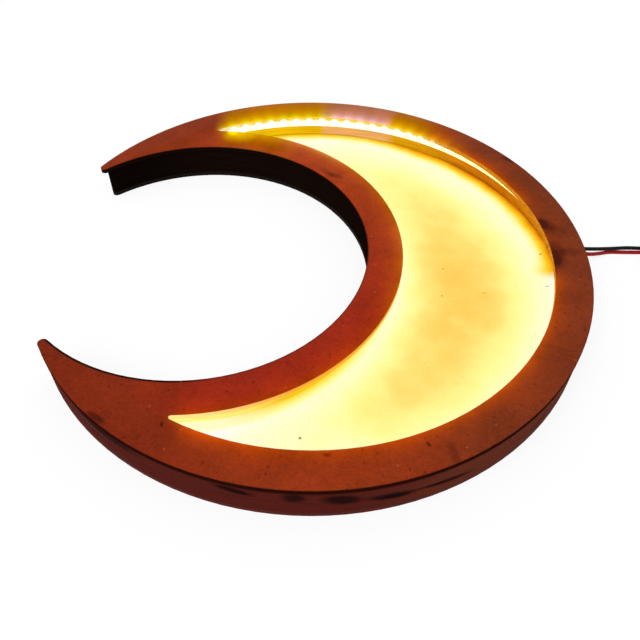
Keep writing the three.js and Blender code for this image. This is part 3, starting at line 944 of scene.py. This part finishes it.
    height = f.minus(f.z, PANEL_BASE)
    cut_inner = f.blend(f.step(height, 0.4, 2.2), tone(251, 186, 40), tone(247, 166, 66))
    cut_inner = f.blend(f.step(f.x, -5, -52), cut_inner, tone(255, 232, 142))
    cut_lit = f.blend(f.step(height, 0.2, 1.6), tone(255, 246, 160), tone(252, 216, 70))
    cut_lit = f.blend(f.step(f.x, -34, -54), cut_lit, tone(255, 248, 190))
    cut = f.blend(lit_edge, tone(212, 130, 16), cut_lit)
    glint = f.times(f.step(f.noise(1.6, detail=3), 0.55, 0.68), 0.7)
    cut = f.blend(glint, cut, tone(255, 206, 96))
    cut = f.blend(inner_side, cut, cut_inner)
    uneven = f.most(f.vary(f.noise(0.6), 0.82, 1.05), f.times(inner_side, 0.97))
    edge_light = f.scaled(cut, f.times(window_edge, uneven))
    beside = f.times(from_led, 3.2)
    above_led = f.over(height, 2.1)
    spot = f.plus(f.times(beside, beside), f.times(above_led, above_led))
    spots = f.scaled((0.8, 0.8, 0.8), f.times(f.step(spot, 1.1, 0.1), window_edge, lit_edge, not_inner))
    f.light(f.sum(top_glow, edge_light, spots))
    f.rough(f.vary(grain, 0.5, 0.68))
    dull = f.most(charred, window_edge, glow_tint)
    f.gloss(f.step(dull, 1, 0, 0, 0.04))
    f.relief(f.plus(grain, f.times(fibres, 0.5)), 0.03, 0.5)
    return f.material


def mdf_edge():
    """Cut edges of the spacer rings: scorched outside, lit amber inside, and painted shade on the bay
    wall.
    """
    f = Finish("mdf_edge")
    unrolled = f.add("CombineXYZ", f.times(f.angle, RING_OUTER), f.z, 0).outputs[0]
    loose = drifted(f, unrolled, 2)
    streaks = f.noise(1, detail=4, stretch=(0.05, 0.9, 1), where=unrolled)
    grain = f.noise(1.4, detail=4)
    outside = f.step(f.radius, 129, 132)
    bay = f.step(f.bite, 91, 89)
    wall = f.blend(f.sector(-84, -62), WALL_TONE, WALL_LIGHT)
    # Darker towards the top, just under the panel.
    wall = f.scaled(wall, f.step(f.z, 17.4, 15.2, 0.66, 1))
    wall = f.scaled(wall, f.plus(f.vary(streaks, 0.88, 1.08), f.vary(grain, -0.1, 0.1)))
    seam = f.step(f.size(f.minus(f.z, RING_SEAM)), 0.3, 0.1)
    seam = f.times(seam, f.step(f.noise(0.04), 0.4, 0.6, 0.1, 0.6))
    wall = f.blend(f.most(f.marks(loose, 0, WALL_MARKS), seam), wall, tone(26, 7, 7))
    # Painted shade: the bay wall near black, deeper to the left.
    dark = f.scaled(BAY_SHADE, f.times(f.vary(streaks, 0.82, 1.15), f.step(f.x, -105, -60, 0.6, 1)))
    inside = f.scaled(tone(40, 14, 3), f.vary(grain, 0.8, 1.15))
    f.colour(f.blend(bay, f.blend(outside, inside, wall), dark))

    turn = f.over(f.angle, math.pi)
    amber = f.ramp(turn, [
        (0.03, 220, 136, 16), (0.10, 216, 128, 12), (0.17, 207, 113, 4),
        (0.23, 210, 118, 8), (0.28, 215, 135, 8), (0.32, 220, 153, 12),
        (0.37, 223, 159, 5), (0.50, 236, 179, 4), (0.59, 241, 194, 14),
    ])
    flare = f.times(f.sector(66, 70), f.sector(88.5, 86))
    amber = f.blend(flare, amber, tone(238, 172, 96))
    facing = f.blend(f.step(f.x, -5, -48), tone(252, 199, 26), tone(254, 250, 136))
    amber = f.blend(f.step(f.bite, 97, 95), amber, facing)
    lines = f.plus(f.z, f.vary(f.noise(0.06), -1, 1))
    low = f.step(f.size(f.minus(lines, 3.6)), 0.4, 0.1)
    high = f.step(f.size(f.minus(lines, 5.6)), 0.35, 0.1)
    kerf = f.most(low, f.times(high, 0.6))
    broken = f.step(f.noise(0.12, detail=3), 0.42, 0.6)
    kerf = f.times(kerf, broken, f.sector(75, 45), f.sector(-10, 0))
    long_streaks = f.noise(1, detail=3, stretch=(0.03, 1.1, 1), where=unrolled)
    seen = f.times(f.sector(62, 40), f.sector(-10, 0))
    kerf = f.most(kerf, f.times(f.step(long_streaks, 0.55, 0.68), seen, 0.7))
    patchy = f.noise(1, detail=4, stretch=(0.12, 0.5, 1), where=unrolled)
    base_band = f.times(f.step(lines, 5.6, 4), f.step(patchy, 0.35, 0.6), seen, 0.55)
    kerf = f.most(kerf, base_band)
    flecks = f.noise(1, detail=4, stretch=(0.35, 1.3, 1), where=unrolled)
    amber = f.blend(f.times(f.step(flecks, 0.6, 0.72), seen, 0.6), amber, tone(246, 186, 84))
    # Painted shade: the lit wall darker at its foot, where it meets the floor.
    foot = f.step(f.z, 2.5, 3.6, 0.62, 1)
    foot = f.most(foot, f.step(f.bite, 97, 95))
    level = f.times(foot, f.rest(f.times(kerf, 0.5)), f.vary(streaks, 0.88, 1.08))
    shown = f.times(f.rest(outside), f.rest(bay), f.step(f.radius, 130, 127.5))
    f.light(f.scaled(amber, f.times(level, shown)))
    f.gloss(f.times(f.rest(bay), 0.008))
    f.rough(f.vary(streaks, 0.55, 0.8))
    f.relief(f.plus(streaks, f.times(grain, 0.4)), 0.05, 0.6)
    return f.material


def mdf_floor():
    """Back panel: its inner face shines with the strip's light, its outside is bare MDF with painted
    shade along the bay.
    """
    f = Finish("mdf_floor", Specular_IOR_Level=0.06)
    clouds = f.noise(0.07, detail=4)
    patches = f.noise(0.02, detail=3)
    grain = f.noise(1.1, detail=5)
    shade = f.plus(f.vary(clouds, 0.85, 1.1), f.vary(grain, -0.12, 0.12))
    body = f.scaled(f.blend(f.step(f.y, -60, 60), MAROON, RUST), shade)
    body = f.blend(f.times(f.specks(6, 0.8, 0.5), 0.5), body, tone(66, 18, 10))
    up = f.step(f.normal_up(), 0.6, 0.9)
    upright = f.step(f.size(f.normal_up()), 0.7, 0.4)
    outside = f.times(f.step(f.radius, 129, 132), f.step(f.bite, 88, 91))
    body = f.blend(f.times(upright, outside), body, f.scaled(WALL_TONE, shade))
    # Painted shade on the edge along the bay.
    body = f.blend(f.times(upright, f.rest(outside)), body, BAY_SHADE)

    from_wall = f.minus(WALL_FACE, f.radius)
    from_bay = f.minus(f.bite, CAVITY_BITE)
    lit = f.times(up, f.step(from_wall, -0.6, 0), f.step(from_bay, -0.6, 0))
    f.colour(f.blend(lit, body, tone(46, 24, 8)))

    ray = f.plus(
        f.fade(from_wall, 24), f.times(f.fade(from_bay, 15), 0.9), f.step(f.y, -80, 80, -0.03, 0.1),
        f.vary(clouds, -0.025, 0.025), f.vary(patches, -0.03, 0.03),
        f.times(f.mark(f.where, FLOOR_TOP, (77, -4), (32, 44)), -0.05),
        f.times(f.mark(f.where, FLOOR_TOP, (46, -60), (20, 18)), 0.03),
    )
    open_floor = f.ramp(ray, [
        (0.12, 253, 198, 84), (0.20, 254, 212, 98), (0.28, 254, 230, 122),
        (0.34, 255, 246, 142), (0.42, 255, 255, 162), (0.54, 255, 255, 192),
        (0.80, 255, 255, 220), (0.98, 255, 255, 250),
    ])
    wider = f.sector(7, 0)
    edge_place = f.over(f.plus(from_wall, f.vary(clouds, -0.5, 0.5)), 10)
    edge_place = f.times(edge_place, f.rest(f.times(wider, 0.35)))
    edge_place = f.plus(edge_place, f.times(f.sector(60, 76), 0.26))
    foot = f.ramp(edge_place, [
        (0, 190, 98, 4), (0.05, 218, 128, 6), (0.15, 236, 153, 12),
        (0.25, 250, 182, 15), (0.35, 251, 200, 30), (0.50, 253, 227, 88),
        (0.70, 255, 251, 160), (1, 255, 255, 206),
    ])
    seen_foot = f.times(f.step(f.times(edge_place, 10), 12, 8), f.sector(-3.5, 0.5))
    floor = f.blend(seen_foot, open_floor, foot)
    bay_foot = f.ramp(f.over(from_bay, 10), [
        (0, 253, 214, 36), (0.10, 253, 228, 78), (0.25, 252, 245, 130),
        (0.40, 254, 255, 164), (0.60, 255, 255, 190),
    ])
    bay_foot = f.blend(f.step(f.x, -8, -45), bay_foot, tone(255, 253, 200))
    floor = f.blend(f.times(f.step(from_bay, 7.5, 3.5), f.step(f.y, -12, -36)), floor, bay_foot)
    dots = f.most(f.times(f.specks(17, 0.6, 0.3), 0.15), f.marks(f.where, FLOOR_TOP, FLOOR_MARKS))
    floor = f.blend(dots, floor, tone(150, 110, 50))
    floor = f.scaled(floor, f.vary(grain, 0.97, 1.03))
    f.light(f.scaled(floor, f.times(lit, 0.985)))
    f.rough(f.vary(grain, 0.5, 0.7))
    f.relief(grain, 0.03, 0.4)
    return f.material


def board_finish():
    """White board that shines near its packages, with fine traces and cutting lines."""
    f = Finish("led_board", Roughness=0.4, Specular_IOR_Level=0.2)
    from_led = led_phase(f)
    in_section = f.math("FRACT", f.over(f.plus(f.angle, STRIP_END), LEDS_PER_SECTION * LED_ANGLE))
    from_cut = f.math("MINIMUM", in_section, f.rest(in_section))
    cut = f.step(from_cut, 0.008, 0.003)
    from_middle = f.size(f.minus(f.z, STRIP_MIDDLE))
    trace = f.times(f.step(from_middle, 3.3, 3.2), f.step(from_middle, 2.9, 3), 0.25)
    body = f.blend(f.most(f.times(cut, 0.7), trace), tone(243, 240, 228), tone(150, 140, 120))
    body = f.scaled(body, f.vary(f.noise(0.8), 0.94, 1.03))
    f.colour(body)
    level = f.plus(0.78, f.step(from_led, 0.5, 0.1, 0, 0.35))
    level = f.times(level, f.rest(f.times(cut, 0.3)))
    shine = f.blend(f.sector(32, 78), tone(255, 228, 122), tone(255, 251, 216))
    f.light(f.scaled(shine, level))
    return f.material


def plain_light(name, colour, level):
    """White moulding that glows, slightly uneven: the LEDs with their own light, the resistors with
    painted light.
    """
    f = Finish(name, Roughness=0.4)
    f.colour(f.scaled(tone(240, 238, 228), f.vary(f.noise(2), 0.94, 1.03)))
    f.light(f.scaled(colour, f.vary(f.noise(1.2), 0.92 * level, 1.08 * level)))
    return f.material


def metal(name, colour, roughness, glow=0):
    """Plated or bare metal with fine scratches and slight tarnish."""
    f = Finish(name, Metallic=1)
    scratches = f.noise(6, detail=4, stretch=(1, 0.15, 1))
    tarnish = f.noise(0.8, detail=3)
    f.colour(f.scaled(colour, f.vary(tarnish, 0.8, 1.08)))
    f.rough(f.vary(scratches, roughness * 0.7, roughness * 1.3))
    f.relief(scratches, 0.004, 0.4)
    if glow:
        f.light(f.scaled(tone(255, 232, 170), f.vary(tarnish, 0.8 * glow, glow)))
    return f.material


def insulation(name, colour, glint):
    """Glossy PVC with the slight unevenness of extruded wire."""
    f = Finish(name, Specular_IOR_Level=0.14)
    waves = f.noise(0.5, detail=2)
    dust = f.noise(5, detail=3)
    body = f.scaled(colour, f.vary(waves, 0.85, 1.12))
    f.colour(f.blend(f.step(dust, 0.62, 0.75, 0, 0.2), body, glint))
    f.rough(f.vary(waves, 0.24, 0.36))
    f.relief(f.plus(waves, f.times(dust, 0.2)), 0.03, 0.3)
    return f.material


def moulded(name, colour, grain_size, roughness):
    """Moulded plastic with a fine spark-eroded grain and rubbed high spots."""
    f = Finish(name, Specular_IOR_Level=0.45)
    grain = f.noise(grain_size, detail=4)
    wear = f.noise(0.35, detail=3)
    f.colour(f.scaled(colour, f.vary(wear, 0.85, 1.25)))
    f.rough(f.plus(f.vary(grain, roughness - 0.06, roughness + 0.06), f.step(wear, 0.5, 0.8, 0, -0.1)))
    f.relief(grain, 0.03, 0.5)
    return f.material


def tie_finish():
    """Nylon band with the fine teeth of a cable tie across it."""
    f = Finish("nylon", Specular_IOR_Level=0.5, Roughness=0.42)
    teeth = f.math("PINGPONG", f.plus(f.y, f.z), 0.35)
    grain = f.noise(3, detail=3)
    f.colour(f.scaled(tone(32, 32, 34), f.vary(grain, 0.85, 1.2)))
    f.relief(f.plus(f.times(teeth, 2), f.times(grain, 0.15)), 0.12, 0.6)
    return f.material


def tape_finish():
    """Woven paper liner of double-sided tape, warm from the light beside it."""
    f = Finish("adhesive_tape", Roughness=0.8)
    weave = f.noise(3, detail=3, stretch=(1, 1, 0.4))
    f.colour(f.scaled(tone(216, 208, 192), f.vary(weave, 0.85, 1.05)))
    f.light(f.scaled(tone(214, 140, 40), f.vary(weave, 0.5, 0.6)))
    f.relief(weave, 0.03, 0.5)
    return f.material


# Dressing

def dress(piece, slot, *materials, replaces=None):
    """Gives a piece its materials, parents it to the root body and hides the parts it replaces. The
    slot is not used.
    """
    if piece.data.materials:
        piece.data.materials.clear()
    for material in materials:
        piece.data.materials.append(material)
    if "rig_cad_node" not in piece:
        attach(piece, "root")
    if replaces:
        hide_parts(*replaces)


nodes = frame["nodes"]
smooth_group = smooth_by_angle()
for name in ("front_panel", "upper_spacer_ring", "lower_spacer_ring", "back_panel"):
    rounded(nodes[name], MDF_ARRIS)
rounded(nodes["coil_tie"], TIE_ARRIS)

edge = mdf_edge()
for name, slot, material in (
    ("front_panel", "mdf_face", mdf_face()), ("upper_spacer_ring", "mdf_edge", edge),
    ("lower_spacer_ring", "mdf_edge", edge), ("back_panel", "mdf_face", mdf_floor()),
    ("strip_tape", "adhesive_tape", tape_finish()), ("coil_tie", "nylon", tie_finish()),
):
    dress(nodes[name], slot, material)

tinned = metal("tinned", tone(226, 214, 190), 0.3, glow=0.75)
housing = plain_light("led_housing", tone(255, 248, 214), 1.15)
phosphor = plain_light("phosphor", tone(255, 250, 205), 2.6)
# The resistors give no light: their glow is painted light.
chip = plain_light("resistor_body", tone(255, 236, 180), 0.8)
for piece, *finishes in (
    (led_board(), board_finish()), (led_packages(), housing, phosphor, tinned),
    (led_resistors(), chip, tinned), (led_pads(), tinned), (led_solder(), tinned),
):
    dress(piece, "led_strip", *finishes, replaces=["led_strip"])

black = insulation("black_insulation", tone(5, 5, 6), tone(34, 32, 32))
red = insulation("red_insulation", tone(146, 2, 6), tone(186, 40, 38))
dress(black_inner, "black_insulation", black, replaces=["black_lead_inside"])
dress(red_inner, "red_insulation", red, replaces=["red_lead_inside"])
dress(
    black_lead, "black_insulation", black,
    replaces=["black_lead_run", "black_lead_coil", "black_lead_tail"],
)
dress(red_lead, "red_insulation", red, replaces=["red_lead_run", "red_lead_coil", "red_lead_tail"])

body_piece = socket_body()
sleeve_piece = socket_sleeve()
pin_piece = socket_pin()
plastic = moulded("moulded_plastic", tone(27, 27, 29), 3.5, 0.52)
nickel = metal("nickel", tone(204, 202, 196), 0.2)
brass = metal("brass", tone(206, 168, 96), 0.22)
dress(body_piece, "moulded_plastic", plastic, replaces=["socket_body"])
dress(sleeve_piece, "nickel", nickel, replaces=["socket_sleeve"])
dress(pin_piece, "brass", brass, replaces=["socket_pin"])


# Floor and light

def pale_floor():
    bm = bmesh.new()
    bmesh.ops.create_grid(bm, x_segments=1, y_segments=1, size=FLOOR_SIZE / 2)
    data = bpy.data.meshes.new("floor")
    bm.to_mesh(data)
    bm.free()
    floor = add_object("floor", data)
    floor.location.z = -FLOOR_DROP
    material = bpy.data.materials.new("pale_floor")
    nodes = Nodes(material)
    nodes.tree.nodes.clear()
    seen = nodes.add("LightPath").outputs["Is Camera Ray"]
    share = nodes.math("MULTIPLY", seen, FLOOR_WHITENESS)
    paper = nodes.add("BsdfDiffuse", (FLOOR_GREY, FLOOR_GREY, FLOOR_GREY, 1)).outputs[0]
    white = nodes.add("Emission", None, FLOOR_LIGHT).outputs[0]
    nodes.add("OutputMaterial", nodes.add("MixShader", share, paper, white).outputs[0])
    data.materials.append(material)


def soft_light():
    world = bpy.data.worlds.new("world")
    bpy.context.scene.world = world
    nodes = Nodes(world)
    nodes.tree.nodes.clear()
    paths = nodes.add("LightPath").outputs
    mirrored = nodes.math("MAXIMUM", paths["Is Glossy Ray"], paths["Is Transmission Ray"])
    seen = nodes.math("MAXIMUM", paths["Is Camera Ray"], mirrored)
    sky = nodes.add("Background", (1, 1, 1, 1), SKY_LIGHT).outputs[0]
    white = nodes.add("Background", (1, 1, 1, 1), 1).outputs[0]
    nodes.add("OutputWorld", nodes.add("MixShader", seen, sky, white).outputs[0])

    data = bpy.data.lights.new("key", "SUN")
    data.energy = SUN_LIGHT
    data.angle = SUN_SPREAD
    add_object("key", data).rotation_euler = [math.radians(turn) for turn in SUN_TILT]


pale_floor()
soft_light()
bpy.context.scene.view_settings.view_transform = "Standard"
